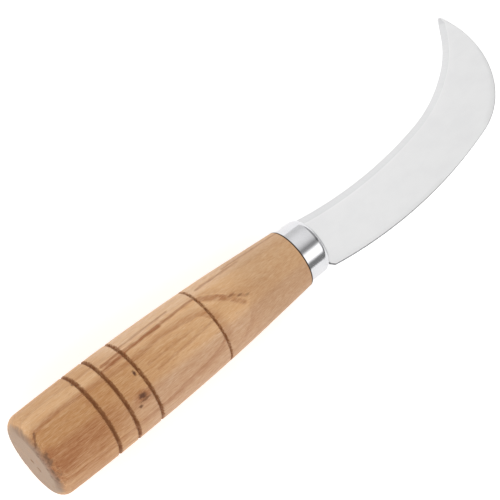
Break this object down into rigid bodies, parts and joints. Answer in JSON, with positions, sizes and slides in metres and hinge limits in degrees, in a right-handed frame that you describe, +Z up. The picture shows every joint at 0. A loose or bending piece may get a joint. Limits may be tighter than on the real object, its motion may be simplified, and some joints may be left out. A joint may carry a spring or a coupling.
{
  "type": "hoof knife",
  "caption": "Hooked blade sharpened on its hollow edge, with a bright drawn ferrule and a turned wooden handle with ring grooves.",
  "frame": {"origin": "under the middle of the knife's bounding box, on the surface that the knife lies on", "axes": "+X along the knife from the butt towards the blade, +Y to the side that the hook turns to, +Z up from the surface. The knife lies as it settles: its axis dips 4.8 degrees towards the blade, and it is rolled 2.5 degrees towards the hook, so the tapered front of the handle and the point of the hook touch the surface"},
  "size_m": [0.2336, 0.055, 0.0375],
  "materials": {
    "wood": "satin",
    "ferrule_metal": "polished",
    "blade_steel": "satin",
    "resin": "gloss"
  },
  "bodies": {
    "root": {"handle": "wood", "ferrule": "ferrule_metal", "blade": "blade_steel", "tang_resin": "resin"}
  },
  "joints": []
}
